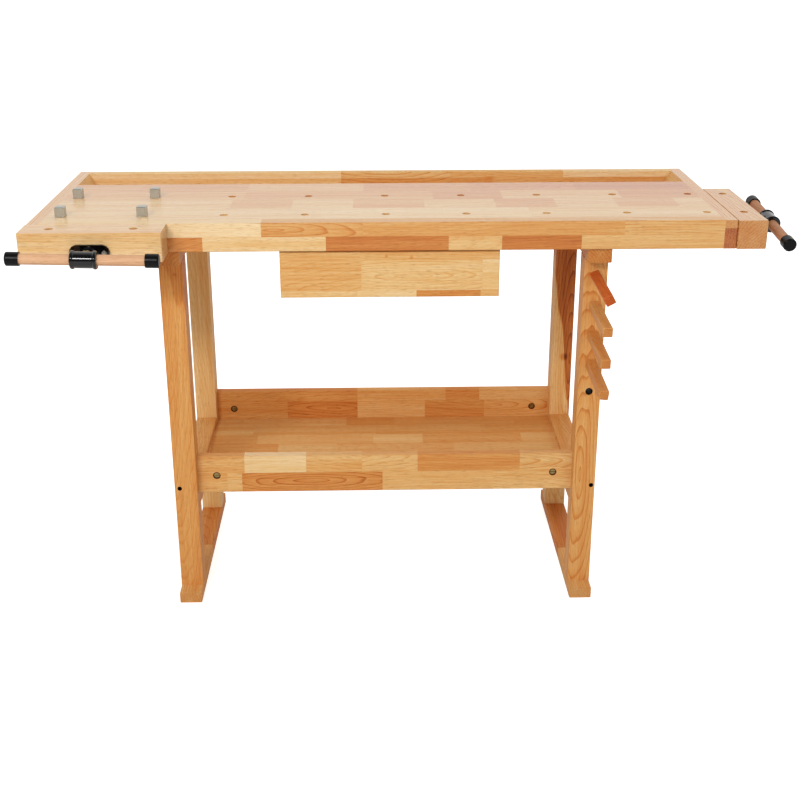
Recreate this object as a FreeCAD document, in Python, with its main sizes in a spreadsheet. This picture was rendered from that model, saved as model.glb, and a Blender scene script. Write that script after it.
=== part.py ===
"""Woodworking bench with a front vise, a tail vise, a drawer, a tool tray and peg supports.

The origin is on the floor, under the middle of the benchtop.  +X runs to the right along
the top, +Y runs from the front apron to the back, +Z is up.  All sizes are millimetres.
"""
import FreeCAD, Part
import os
import re
import Sketcher

# Driving sizes.  Each one is written once here and read from the sheet everywhere else.
SIZES = {
    # benchtop
    "top_length": 1370,
    "top_depth": 500,
    "bench_height": 838,
    "edge_height": 56.4,
    "panel_thick": 25,
    "apron_thick": 32,
    "cap_thick": 25,
    "work_depth": 359,
    "rear_rail_thick": 22,
    "tray_rail_thick": 32,
    "tray_floor_thick": 9,
    "tray_floor_lift": 3,
    "tray_groove": 5,
    "ramp_angle": 60,
    "soft_edge": 1.5,
    "wood_fit": 0.2,
    # dog holes and dogs
    "dog_first": 53,
    "dog_pitch": 159,
    "dog_front_row": 69,
    "dog_back_row": 234,
    "dog_hole_radius": 8,
    "dog_fit": 0.3,
    "dog_shank_length": 62,
    "dog_head": 19,
    "dog_head_height": 19.5,
    "dog_head_shift": 3,
    "seat_gap": 0.3,
    # base
    "base_width": 890,
    "leg": 47,
    "leg_setback": 43,
    "back_leg_setback": 33,
    "runner_height": 25,
    "runner_overhang": 33,
    "bearer_height": 29,
    "bearer_front_overhang": 35,
    "bearer_back_overhang": 25,
    "tenon_thick": 18,
    "tenon_wide": 31,
    "tenon_length": 14,
    "mid_rail_top": 263.4,
    "mid_rail_height": 60,
    "stretcher_low": 236.6,
    "stretcher_height": 82.8,
    "stretcher_thick": 23,
    "stretcher_inset": 0.6,
    "shelf_top": 250,
    "shelf_thick": 13,
    "shelf_housing": 10,
    "shelf_end_gap": 2,
    # fasteners
    "nut_inset": 40,
    "nut_rise": 39.1,
    "nut_radius": 6.2,
    "nut_length": 18,
    "nut_sink": 2,
    "nut_slot": 1.8,
    "bolt_radius": 3,
    "bolt_head_radius": 6,
    "bolt_head_height": 4.5,
    "bolt_head_gap": 1,
    "bolt_sink": 6,
    "bolt_gap": 0.3,
    "fastener_fit": 0.05,
    "pin_hole_radius": 4.3,
    "pin_hole_depth": 16,
    "left_pin_inset": 10.4,
    "left_pin_height": 257,
    "right_pin_inset": 7.5,
    "right_pin_height": 255,
    "screw_radius": 2,
    "screw_head_radius": 4,
    "screw_head_height": 2.5,
    "screw_sink": 3,
    "bearer_screw_length": 47,
    "bracket_screw_length": 22,
    # peg supports on the right front leg
    "peg_hole_drop": 121,
    "peg_hole_pitch": 62,
    "peg_hole_radius": 7.2,
    "peg": 19,
    "peg_length": 161,
    "peg_fit": 0.65,
    "peg_tenon_length": 24,
    "peg_gap": 0.8,
    # drawer
    "drawer_shift": 10.8,
    "drawer_width": 430,
    "drawer_height": 92.8,
    "drawer_setback": 10,
    "drawer_drop": 3.6,
    "drawer_front_thick": 19,
    "drawer_box_inset": 22,
    "drawer_side_thick": 12,
    "drawer_side_drop": 11.4,
    "drawer_side_lift": 7,
    "drawer_box_depth": 300,
    "drawer_bottom_thick": 5,
    "drawer_bottom_lift": 6,
    "drawer_groove": 5,
    "runner_strip": 12,
    "runner_strip_reach": 6,
    "runner_strip_gap": 0.5,
    "drawer_rail_thick": 15,
    # vises
    "screw_drop": 36.1,
    "front_jaw_length": 268,
    "front_jaw_thick": 70,
    "front_turn": 1.3,
    "front_handle_shift": -2.5,
    "front_hub_reach": 54,
    "tail_jaw_length": 287,
    "tail_jaw_thick": 57,
    "tail_jaw_proud": 4,
    "tail_turn": -5.2,
    "tail_handle_shift": -7,
    "tail_hub_reach": 46,
    "jaw_gap": 0.4,
    "vise_travel": 140,
    "vise_engaged": 30,
    "vise_screw_radius": 9,
    "vise_screw_tail_radius": 6,
    "vise_screw_tail": 26,
    "vise_screw_bevel": 2,
    "guide_rod_radius": 7,
    "guide_rod_offset": 44,
    "guide_rod_socket": 32,
    "running_fit": 0.08,
    "bore_gap": 0.6,
    "plate_length": 75.3,
    "plate_height": 30,
    "plate_thick": 5,
    "plate_bolt_offset": 28,
    "plate_bolt_radius": 2.5,
    "plate_bolt_head": 4.4,
    "plate_bolt_head_height": 3,
    "plate_bolt_length": 33,
    "hub_length": 48.5,
    "hub_wall": 4.9,
    "hub_bead": 7,
    "hub_bead_rise": 2,
    "neck_radius": 10,
    "neck_root": 3,
    "neck_flare": 3,
    "shoulder_radius": 13.5,
    "shoulder_length": 7,
    "shoulder_ramp": 2,
    "collar_radius": 14,
    "collar_thick": 5,
    "handle_radius": 10.25,
    "handle_length": 280,
    "handle_gap": 0.4,
    "handle_cap_length": 25.2,
    "handle_cap_side": 2.8,
    "handle_cap_round": 3,
    "handle_cap_wall": 5,
    "bracket_length": 60,
    "bracket_margin": 1.5,
    "bracket_flange": 5,
    "nut_lobe_radius": 16,
    "rod_lobe_radius": 11.5,
    "bracket_plate": 5,
    "bracket_screw_offset": 24,
    "bracket_screw_end": 15,
}

doc = FreeCAD.newDocument("Workbench")
sheet = doc.addObject("Spreadsheet::Sheet", "Sizes")
for row, (alias, number) in enumerate(SIZES.items(), start=1):
    sheet.set(f"A{row}", str(number))
    sheet.setAlias(f"A{row}", alias)
doc.recompute()

# Shared places, written as formulas of the sheet's sizes.
LEFT = "(-top_length / 2)"
RIGHT = "(top_length / 2)"
FRONT = "(-top_depth / 2)"
REAR = "(top_depth / 2)"
EDGE_LOW = "(bench_height - edge_height)"
PANEL_LOW = "(bench_height - panel_thick)"
INNER_LEFT = f"({LEFT} + cap_thick)"
INNER_FRONT = f"({FRONT} + apron_thick)"
INNER_LENGTH = "(top_length - 2 * cap_thick)"
WORK_REAR = f"({FRONT} + work_depth)"
TRAY_REAR = f"({REAR} - rear_rail_thick)"
TRAY_WIDTH = "(top_depth - rear_rail_thick - work_depth)"
TRAY_FLOOR_LOW = f"({EDGE_LOW} + tray_floor_lift)"
LEG_X = {"left": "(-base_width / 2)", "right": "(base_width / 2 - leg)"}
LEG_Y = {"front": f"({FRONT} + leg_setback)", "back": f"({REAR} - back_leg_setback - leg)"}
LEG_TOP = f"({EDGE_LOW} - bearer_height)"
STRETCHER_LENGTH = "(base_width - 2 * leg)"
SCREW_AXIS = "(bench_height - screw_drop)"
FRONT_VISE_X = "(front_jaw_length / 2)"
TAIL_VISE_Y = "(tail_jaw_length / 2 - tail_jaw_proud)"
BOLT_HOLE = "(bolt_radius + bolt_gap)"
SETBACK = "(leg - stretcher_thick - stretcher_inset)"

# Which way a cutter moves: the plane it starts from, the sign of that plane's offset along
# the axis, and whether the cut is reversed.
CUTS = {
    "down": ("XY_Plane", 1, False),
    "up": ("XY_Plane", 1, True),
    "back": ("XZ_Plane", -1, False),
    "front": ("XZ_Plane", -1, True),
    "left": ("YZ_Plane", 1, False),
    "right": ("YZ_Plane", 1, True),
}

pieces = []
softened = []


def bound(formula):
    """Point every size named in a formula at its cell."""
    return re.sub(r"[a-z][a-z_]*[a-z]", lambda word: f"Sizes.{word.group()}"
                  if word.group() in SIZES else word.group(), str(formula))


def value(formula):
    """Work a formula out with the sheet's numbers."""
    return float(sheet.evalExpression(bound(formula)))


def place(item, at, turn=None):
    """Put an item at a point worked out from the sheet, turned by a rotation."""
    item.Placement = FreeCAD.Placement(FreeCAD.Vector(0, 0, 0), turn or FreeCAD.Rotation())
    for letter, formula in zip("xyz", at):
        item.setExpression(f"Placement.Base.{letter}", bound(formula))


def new_body(label, at, turn=None):
    """Start one solid sub-part."""
    body = doc.addObject("PartDesign::Body", label)
    body.Label = label
    place(body, at, turn)
    pieces.append(body)
    return body


def new_sketch(body, plane, offset="0"):
    """Start a sketch on one of a body's own origin planes, moved along the plane's normal."""
    sketch = body.newObject("Sketcher::SketchObject", "Sketch")
    support = [item for item in body.Origin.OriginFeatures if item.Role == plane][0]
    sketch.AttachmentSupport = (support, [""])
    sketch.MapMode = "FlatFace"
    sketch.setExpression("AttachmentOffset.Base.z", bound(offset))
    return sketch


def hold(sketch, kind, where, formula):
    """Add one dimension to a sketch and bind it to the sheet."""
    row = sketch.addConstraint(Sketcher.Constraint(kind, *where, value(formula)))
    sketch.setExpression(f"Constraints[{row}]", bound(formula))


def draw_outline(sketch, corners):
    """Draw a closed outline through corners read from the sheet.

    A corner (u, v) starts a straight run.  One that starts an arc also gives the arc's centre,
    and 1 where the arc turns left or -1 where it turns right.
    """
    first = sketch.GeometryCount
    points = [FreeCAD.Vector(value(corner[0]), value(corner[1]), 0) for corner in corners]
    ends = []
    for corner, start, end in zip(corners, points, points[1:] + points[:1]):
        if len(corner) == 2:
            sketch.addGeometry(Part.LineSegment(start, end), False)
            ends.append((1, 2))
            continue
        centre = FreeCAD.Vector(value(corner[2]), value(corner[3]), 0)
        chord = (end - start).normalize()
        bulge = FreeCAD.Vector(chord.y, -chord.x, 0) * corner[4] * (start - centre).Length
        arc = sketch.addGeometry(Part.Arc(start, centre + bulge, end), False)
        ends.append((1, 2) if corner[4] > 0 else (2, 1))
        if abs(chord.x) > abs(chord.y):
            hold(sketch, "DistanceY", (-1, 1, arc, 3), corner[3])
        else:
            hold(sketch, "DistanceX", (-1, 1, arc, 3), corner[2])
    for step, corner in enumerate(corners):
        after = (step + 1) % len(corners)
        joint = (first + step, ends[step][1], first + after, ends[after][0])
        sketch.addConstraint(Sketcher.Constraint("Coincident", *joint))
        hold(sketch, "DistanceX", (-1, 1, first + step, ends[step][0]), corner[0])
        hold(sketch, "DistanceY", (-1, 1, first + step, ends[step][0]), corner[1])


def draw_rectangle(sketch, corner, wide, high):
    """Draw a rectangle from its lower left corner."""
    left, low = corner
    right = f"({left}) + ({wide})"
    top = f"({low}) + ({high})"
    draw_outline(sketch, [(left, low), (right, low), (right, top), (left, top)])


def draw_circles(sketch, centres, radius):
    """Draw equal circles round a list of centres."""
    for u, v in centres:
        centre = FreeCAD.Vector(value(u), value(v), 0)
        ring = sketch.addGeometry(Part.Circle(centre, FreeCAD.Vector(0, 0, 1), value(radius)), False)
        hold(sketch, "DistanceX", (-1, 1, ring, 3), u)
        hold(sketch, "DistanceY", (-1, 1, ring, 3), v)
        hold(sketch, "Radius", (ring,), radius)


def pad(body, sketch, length, backward=False):
    """Extrude a sketch."""
    feature = body.newObject("PartDesign::Pad", "Pad")
    feature.Profile = sketch
    feature.setExpression("Length", bound(length))
    feature.Reversed = backward
    return feature


def block(body, corner, size):
    """Add a rectangular block, given its lowest corner and its sizes."""
    x, y, z = corner
    sketch = new_sketch(body, "XY_Plane", z)
    draw_rectangle(sketch, (x, y), size[0], size[1])
    return pad(body, sketch, size[2])


def cut(body, way, start, depth, draw, *shape):
    """Cut a drawn shape into a body, moving one way from a plane at start."""
    plane, sign, reverse = CUTS[way]
    sketch = new_sketch(body, plane, f"{sign} * ({start})")
    draw(sketch, *shape)
    feature = body.newObject("PartDesign::Pocket", "Pocket")
    feature.Profile = sketch
    feature.setExpression("Length", bound(depth))
    feature.Reversed = reverse
    return feature


def drill(body, way, start, depth, centres, radius):
    """Drill equal round holes."""
    return cut(body, way, start, depth, draw_circles, centres, radius)


def turn_profile(body, plane, corners, about):
    """Add a solid of revolution about a sketch axis, H_Axis or V_Axis."""
    sketch = new_sketch(body, plane)
    draw_outline(sketch, corners)
    feature = body.newObject("PartDesign::Revolution", "Revolution")
    feature.Profile = sketch
    feature.ReferenceAxis = (sketch, [about])
    feature.Angle = 360
    return feature


def board(label, at, size, turn=None):
    """Make one rectangular board of wood with its lowest corner at a point."""
    body = new_body(label, at, turn)
    block(body, ("0", "0", "0"), size)
    return body


def soften(body, size, along, *faces):
    """Ask for eased long edges: those along one axis that lie on the named outer faces."""
    softened.append((body, size, along, faces))


def long_edges(shape, along, faces):
    """Find the outer straight edges along an axis that touch all the named faces."""
    box = shape.BoundBox
    low = (box.XMin, box.YMin, box.ZMin)
    high = (box.XMax, box.YMax, box.ZMax)
    axis = "xyz".index(along)
    found = []
    for number, edge in enumerate(shape.Edges, start=1):
        middle = edge.CenterOfMass
        reach = edge.BoundBox
        spans = (reach.XLength, reach.YLength, reach.ZLength)
        others = [step for step in range(3) if step != axis]
        if max(spans[step] for step in others) > 0.01 or spans[axis] < 1:
            continue
        outer = all(min(abs(middle[step] - low[step]), abs(middle[step] - high[step])) < 0.01
                    for step in others)
        named = all(abs(middle["xyz".index(face[1])]
                        - (low if face[0] == "-" else high)["xyz".index(face[1])]) < 0.01
                    for face in faces)
        if outer and named:
            found.append(f"Edge{number}")
    return found


def cylinder(name, radius, length, at, turn=None):
    """Make a plain round bar that starts at a point and runs along its own Z."""
    bar = doc.addObject("Part::Cylinder", name)
    bar.setExpression("Radius", bound(radius))
    bar.setExpression("Height", bound(length))
    place(bar, at, turn)
    return bar


def group(label, solids, at=("0", "0", "0"), turn=None):
    """Gather identical separate solids as one sub-part."""
    compound = doc.addObject("Part::Compound", label)
    compound.Label = label
    compound.Links = solids
    place(compound, at, turn)
    pieces.append(compound)
    return compound


def turned_to(axis):
    """Turn that carries the Z axis to another axis."""
    return FreeCAD.Rotation(FreeCAD.Vector(0, 0, 1), FreeCAD.Vector(*axis))


# ---------------------------------------------------------------- base
def runners():
    """Feet: flat bars on the floor, each with the sockets of two legs."""
    spread = f"({LEG_Y['back']} - {LEG_Y['front']})"
    for side in ("left", "right"):
        at = (LEG_X[side], f"{LEG_Y['front']} - runner_overhang", "0")
        body = board(f"{side}_runner", at,
                     ("leg", f"{spread} + leg + 2 * runner_overhang", "runner_height"))
        sockets(body, "down", "runner_height", "runner_overhang", spread)
        soften(body, "soft_edge", "y")


def sockets(body, way, start, first, spread):
    """Sink the sockets of two leg tenons in a runner or a bearer."""
    thick = "tenon_thick + 2 * wood_fit"
    wide = "tenon_wide + 2 * wood_fit"
    for reach in ("0", spread):
        corner = ("(leg - tenon_thick) / 2 - wood_fit",
                  f"{first} + {reach} + (leg - tenon_wide) / 2 - wood_fit")
        cut(body, way, start, "tenon_length + wood_fit", draw_rectangle, corner, thick, wide)


def legs():
    """Square legs with a stub tenon at each end and bolt holes for the stretchers."""
    length = f"({LEG_TOP} - runner_height)"
    bolt_at = (f"{SETBACK} + stretcher_thick / 2", "stretcher_low + nut_rise - runner_height")
    for side in ("left", "right"):
        for end in ("front", "back"):
            body = board(f"{side}_{end}_leg", (LEG_X[side], LEG_Y[end], "runner_height"),
                         ("leg", "leg", length))
            corner = ("(leg - tenon_thick) / 2", "(leg - tenon_wide) / 2")
            block(body, (*corner, "-tenon_length"),
                  ("tenon_thick", "tenon_wide", f"{length} + 2 * tenon_length"))
            way, start = ("right", "0") if side == "left" else ("left", "leg")
            drill(body, way, start, "leg", [bolt_at], BOLT_HOLE)
            drill(body, way, start, "bolt_sink", [bolt_at], "bolt_head_radius + bolt_head_gap")
            if end == "front":
                inset = "left_pin_inset" if side == "left" else "leg - right_pin_inset"
                drill(body, "back", "0", "pin_hole_depth",
                      [(inset, f"{side}_pin_height - runner_height")], "pin_hole_radius")
            if (side, end) == ("right", "front"):
                centres = [("leg / 2", f"{height} - runner_height") for height in peg_heights()]
                drill(body, "back", "0", "leg", centres, "peg_hole_radius")


def peg_heights():
    """Heights of the five peg holes, from the top down."""
    return [f"(bench_height - peg_hole_drop - {step} * peg_hole_pitch)" for step in range(5)]


def bearers():
    """Top bars of the end frames, which carry the benchtop."""
    spread = f"({LEG_Y['back']} - {LEG_Y['front']})"
    length = f"{spread} + leg + bearer_front_overhang + bearer_back_overhang"
    for side in ("left", "right"):
        at = (LEG_X[side], f"{LEG_Y['front']} - bearer_front_overhang", LEG_TOP)
        body = board(f"{side}_bearer", at, ("leg", length, "bearer_height"))
        sockets(body, "up", "0", "bearer_front_overhang", spread)
        centres = [("leg / 2", f"{y} - ({at[1]})") for y in bearer_screw_rows()]
        drill(body, "up", "0", "bearer_height", centres, "screw_radius + fastener_fit")
        drill(body, "up", "0", "screw_sink", centres, "screw_head_radius + wood_fit")
        soften(body, "soft_edge", "y", "-z")


def bearer_screw_rows():
    """Screws go up through a bearer into the front apron and the tray's front rail."""
    return [f"({FRONT} + apron_thick / 2)", f"({WORK_REAR} - tray_rail_thick / 2)"]


def mid_rails():
    """Low side rails, each grooved on its inner face for the shelf's end."""
    length = f"({LEG_Y['back']} - {LEG_Y['front']} - leg)"
    low = "(mid_rail_top - mid_rail_height)"
    for side in ("left", "right"):
        at = (LEG_X[side], f"{LEG_Y['front']} + leg", low)
        body = board(f"{side}_mid_rail", at, ("leg", length, "mid_rail_height"))
        way, start = ("left", "leg") if side == "left" else ("right", "0")
        cut(body, way, start, "shelf_housing", draw_rectangle,
            ("0", f"shelf_top - shelf_thick - {low}"), length, "shelf_thick")
        soften(body, "soft_edge", "y", "+z")


def stretchers():
    """Long rails between the legs, bored for the bolts and their barrel nuts."""
    for end in ("front", "back"):
        at = (f"{LEG_X['left']} + leg", f"{LEG_Y[end]} + {SETBACK}", "stretcher_low")
        body = board(f"{end}_stretcher", at,
                     (STRETCHER_LENGTH, "stretcher_thick", "stretcher_height"))
        bolt_at = [("stretcher_thick / 2", "nut_rise")]
        depth = "nut_inset + nut_radius + bolt_radius"
        drill(body, "right", "0", depth, bolt_at, BOLT_HOLE)
        drill(body, "left", STRETCHER_LENGTH, depth, bolt_at, BOLT_HOLE)
        centres = [("nut_inset", "nut_rise"), (f"{STRETCHER_LENGTH} - nut_inset", "nut_rise")]
        drill(body, "back", "0", "nut_length + nut_sink + wood_fit", centres,
              "nut_radius + fastener_fit")
        soften(body, "soft_edge", "x")


def shelf():
    """Edge-glued shelf between the stretchers, its ends housed in the mid rails."""
    front = f"({LEG_Y['front']} + {SETBACK} + stretcher_thick + wood_fit)"
    depth = f"({LEG_Y['back']} + {SETBACK} - wood_fit - {front})"
    body = board("shelf", (f"{LEG_X['left']} + leg + wood_fit", front, "shelf_top - shelf_thick"),
                 (f"{STRETCHER_LENGTH} - 2 * wood_fit", depth, "shelf_thick"))
    tongue = f"({LEG_Y['back']} - {LEG_Y['front']} - leg - 2 * shelf_end_gap)"
    block(body, ("-shelf_housing", f"{LEG_Y['front']} + leg + shelf_end_gap - {front}", "0"),
          (f"{STRETCHER_LENGTH} - 2 * wood_fit + 2 * shelf_housing", tongue, "shelf_thick"))


# ---------------------------------------------------------------- benchtop
def dog_columns(count=9):
    """Dog hole columns, measured from the left end of the top."""
    return [f"(dog_first + {step} * dog_pitch)" for step in range(count)]


def top_panel():
    """Work surface: a laminated panel with two rows of dog holes."""
    body = board("top_panel", (INNER_LEFT, INNER_FRONT, PANEL_LOW),
                 (INNER_LENGTH, "work_depth - apron_thick", "panel_thick"))
    centres = [(f"{column} - cap_thick", f"{row} - apron_thick")
               for row in ("dog_front_row", "dog_back_row") for column in dog_columns()]
    drill(body, "up", "0", "panel_thick", centres, "dog_hole_radius")
    pilots = []
    for along in ("bracket_screw_end", "bracket_length - bracket_screw_end"):
        for side in ("-", "+"):
            pilots.append((f"{FRONT_VISE_X} - cap_thick {side} bracket_screw_offset", along))
            pilots.append((f"{INNER_LENGTH} - ({along})",
                           f"{TAIL_VISE_Y} - apron_thick {side} bracket_screw_offset"))
    depth = "bracket_screw_length - bracket_flange + wood_fit"
    drill(body, "up", "0", depth, pilots, "screw_radius + fastener_fit")
    soften(body, "soft_edge", "x", "+y", "+z")


def edge_boards():
    """Front apron, end caps and rear rail: the deep edge that frames the top."""
    apron = board("front_apron", (INNER_LEFT, FRONT, EDGE_LOW),
                  (INNER_LENGTH, "apron_thick", "edge_height"))
    vise_bores(apron, "back", "0", "apron_thick", f"{FRONT_VISE_X} - cap_thick")
    pilots = [(f"{LEG_X[side]} + leg / 2 - {INNER_LEFT}", "apron_thick / 2")
              for side in ("left", "right")]
    drill(apron, "up", "0", "bearer_screw_length - bearer_height + screw_sink", pilots,
          "screw_radius + fastener_fit")
    soften(apron, "soft_edge", "x", "-y")
    for side, x in (("left", LEFT), ("right", f"{RIGHT} - cap_thick")):
        cap = board(f"{side}_end_cap", (x, FRONT, EDGE_LOW), ("cap_thick", "top_depth", "edge_height"))
        if side == "right":
            vise_bores(cap, "right", "0", "cap_thick", TAIL_VISE_Y)
        soften(cap, "soft_edge", "y", f"{'-' if side == 'left' else '+'}x")
        soften(cap, "soft_edge", "z", f"{'-' if side == 'left' else '+'}x")
    rail = board("rear_rail", (INNER_LEFT, TRAY_REAR, EDGE_LOW),
                 (INNER_LENGTH, "rear_rail_thick", "edge_height"))
    cut(rail, "back", "0", "tray_groove", draw_rectangle, ("0", "tray_floor_lift"),
        INNER_LENGTH, "tray_floor_thick")
    soften(rail, "soft_edge", "x", "+z")


def vise_bores(body, way, start, depth, along):
    """Bore an edge board for a vise screw and its two guide rods."""
    drop = "edge_height - screw_drop"
    drill(body, way, start, depth, [(along, drop)], "vise_screw_radius + bore_gap")
    rods = [(f"{along} - guide_rod_offset", drop), (f"{along} + guide_rod_offset", drop)]
    drill(body, way, start, depth, rods, "guide_rod_radius + bore_gap")


def tray():
    """Sunken tool tray behind the work surface: front rail, floor and two end ramps."""
    front = board("tray_front_rail", (INNER_LEFT, f"{WORK_REAR} - tray_rail_thick", EDGE_LOW),
                  (INNER_LENGTH, "tray_rail_thick", "edge_height - panel_thick"))
    cut(front, "front", "tray_rail_thick", "tray_groove", draw_rectangle, ("0", "tray_floor_lift"),
        INNER_LENGTH, "tray_floor_thick")
    pilots = [(f"{LEG_X[side]} + leg / 2 - {INNER_LEFT}", "tray_rail_thick / 2")
              for side in ("left", "right")]
    drill(front, "up", "0", "bearer_screw_length - bearer_height + screw_sink", pilots,
          "screw_radius + fastener_fit")
    slack = "(tray_groove - wood_fit)"
    board("tray_bottom", (f"{INNER_LEFT} + wood_fit", f"{WORK_REAR} - {slack}", TRAY_FLOOR_LOW),
          (f"{INNER_LENGTH} - 2 * wood_fit", f"{TRAY_WIDTH} + 2 * {slack}", "tray_floor_thick"))
    high = "(edge_height - tray_floor_lift - tray_floor_thick)"
    foot = f"({high} / tan(ramp_angle * 1deg))"
    for side, sign in (("left", ""), ("right", "-")):
        x = f"{sign}{INNER_LEFT}"
        body = new_body(f"{side}_tray_ramp",
                        (x, f"{WORK_REAR} + wood_fit", f"{TRAY_FLOOR_LOW} + tray_floor_thick"))
        sketch = new_sketch(body, "XZ_Plane")
        draw_outline(sketch, [("0", "0"), (f"{sign or '+'}{foot}", "0"), ("0", high)])
        pad(body, sketch, f"{TRAY_WIDTH} - 2 * wood_fit", backward=True)


# ---------------------------------------------------------------- drawer
DRAWER_LEFT = "(drawer_shift - drawer_width / 2)"
DRAWER_LOW = f"({EDGE_LOW} - drawer_drop - drawer_height)"
DRAWER_BACK_FACE = f"({FRONT} + drawer_setback + drawer_front_thick)"
BOX_LEFT = f"({DRAWER_LEFT} + drawer_box_inset)"
BOX_WIDTH = "(drawer_width - 2 * drawer_box_inset)"
BOX_LOW = f"({DRAWER_LOW} + drawer_side_lift)"
SIDE_HEIGHT = "(drawer_height - drawer_side_lift - drawer_side_drop)"
STRIP_LIFT = f"(({SIDE_HEIGHT} - runner_strip) / 2)"


def drawer():
    """Drawer: overlapping front, two grooved sides, back and a thin bottom."""
    front = board("drawer_front", (DRAWER_LEFT, f"{FRONT} + drawer_setback", DRAWER_LOW),
                  ("drawer_width", "drawer_front_thick", "drawer_height"))
    bottom_low = "drawer_side_lift + drawer_bottom_lift"
    between = f"({BOX_WIDTH} - 2 * drawer_side_thick)"
    cut(front, "front", "drawer_front_thick", "drawer_groove", draw_rectangle,
        ("drawer_box_inset + drawer_side_thick - drawer_groove", bottom_low),
        f"{between} + 2 * drawer_groove", "drawer_bottom_thick")
    for way in ("x", "z"):
        soften(front, "soft_edge", way, "-y")
    for side in ("left", "right"):
        x = BOX_LEFT if side == "left" else f"{BOX_LEFT} + {BOX_WIDTH} - drawer_side_thick"
        body = board(f"drawer_{side}_side", (x, DRAWER_BACK_FACE, BOX_LOW),
                     ("drawer_side_thick", "drawer_box_depth", SIDE_HEIGHT))
        inward = ("left", "drawer_side_thick") if side == "left" else ("right", "0")
        outward = ("right", "0") if side == "left" else ("left", "drawer_side_thick")
        cut(body, *inward, "drawer_groove", draw_rectangle, ("0", "drawer_bottom_lift"),
            "drawer_box_depth", "drawer_bottom_thick")
        cut(body, *outward, "runner_strip_reach + runner_strip_gap", draw_rectangle,
            ("0", f"{STRIP_LIFT} - runner_strip_gap"), "drawer_box_depth",
            "runner_strip + 2 * runner_strip_gap")
    inner_left = f"({BOX_LEFT} + drawer_side_thick)"
    back_low = "(drawer_bottom_lift + drawer_bottom_thick)"
    board("drawer_back", (inner_left, f"{DRAWER_BACK_FACE} + drawer_box_depth - drawer_side_thick",
                          f"{BOX_LOW} + {back_low}"),
          (between, "drawer_side_thick", f"{SIDE_HEIGHT} - {back_low}"))
    slack = "(drawer_groove - wood_fit)"
    board("drawer_bottom", (f"{inner_left} - {slack}", f"{DRAWER_BACK_FACE} - {slack}",
                            f"{BOX_LOW} + drawer_bottom_lift"),
          (f"{between} + 2 * {slack}", f"drawer_box_depth + {slack}", "drawer_bottom_thick"))


def drawer_rails():
    """Rails under the top, each with a strip that runs in a drawer side's groove."""
    length = "(work_depth - apron_thick - tray_rail_thick)"
    low = f"({BOX_LOW} + {STRIP_LIFT})"
    for side in ("left", "right"):
        x = f"{BOX_LEFT} - runner_strip_gap - drawer_rail_thick"
        corner = "0"
        if side == "right":
            x = f"{BOX_LEFT} + {BOX_WIDTH} + runner_strip_gap"
            corner = "-runner_strip_reach"
        body = board(f"{side}_drawer_rail", (x, INNER_FRONT, low),
                     ("drawer_rail_thick", length, f"{PANEL_LOW} - {low}"))
        block(body, (corner, "0", "0"),
              ("drawer_rail_thick + runner_strip_reach", length, "runner_strip"))


# ---------------------------------------------------------------- fasteners
def stretcher_fasteners():
    """Bolts through the legs and the slotted barrel nuts that they pull on."""
    bolts = []
    nuts = []
    height = "stretcher_low + nut_rise"
    for end in ("front", "back"):
        middle = f"{LEG_Y[end]} + {SETBACK} + stretcher_thick / 2"
        nut_face = f"{LEG_Y[end]} + {SETBACK} + nut_sink"
        for side, sign in (("left", ""), ("right", "-")):
            name = f"{side}_{end}"
            outer = f"{sign}({LEG_X['left']} + bolt_sink)"
            inward = turned_to((-1 if side == "right" else 1, 0, 0))
            outward = turned_to((1 if side == "right" else -1, 0, 0))
            length = "leg - bolt_sink + nut_inset + nut_radius"
            at = (outer, middle, height)
            head = cylinder(f"{name}_bolt_head", "bolt_head_radius", "bolt_head_height", at, outward)
            shank = cylinder(f"{name}_bolt_shank", "bolt_radius", length, at, inward)
            bolts.append(fused(f"{name}_bolt", head, shank))
            nut_x = f"{sign}({LEG_X['left']} + leg + nut_inset)"
            blank = cylinder(f"{name}_nut_blank", "nut_radius", "nut_length",
                             (nut_x, nut_face, height),
                             turned_to((0, 1, 0)))
            thread = cylinder(f"{name}_nut_thread", "bolt_radius + fastener_fit", "4 * nut_radius",
                              (f"{nut_x} - 2 * nut_radius", middle, height), turned_to((1, 0, 0)))
            slot = doc.addObject("Part::Box", f"{name}_nut_slot")
            slot.setExpression("Length", bound("4 * nut_radius"))
            slot.setExpression("Width", bound("nut_slot"))
            slot.setExpression("Height", bound("nut_slot"))
            place(slot, (f"{nut_x} - 2 * nut_radius", nut_face, f"{height} - nut_slot / 2"))
            nuts.append(less(f"{name}_nut", less(f"{name}_nut_bored", blank, thread), slot))
    group("stretcher_bolts", bolts)
    group("barrel_nuts", nuts)


def fused(name, first, second):
    """Join two simple solids."""
    joined = doc.addObject("Part::Fuse", name)
    joined.Base = first
    joined.Tool = second
    return joined


def less(name, base, tool):
    """Take one simple solid away from another."""
    rest = doc.addObject("Part::Cut", name)
    rest.Base = base
    rest.Tool = tool
    return rest


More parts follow.
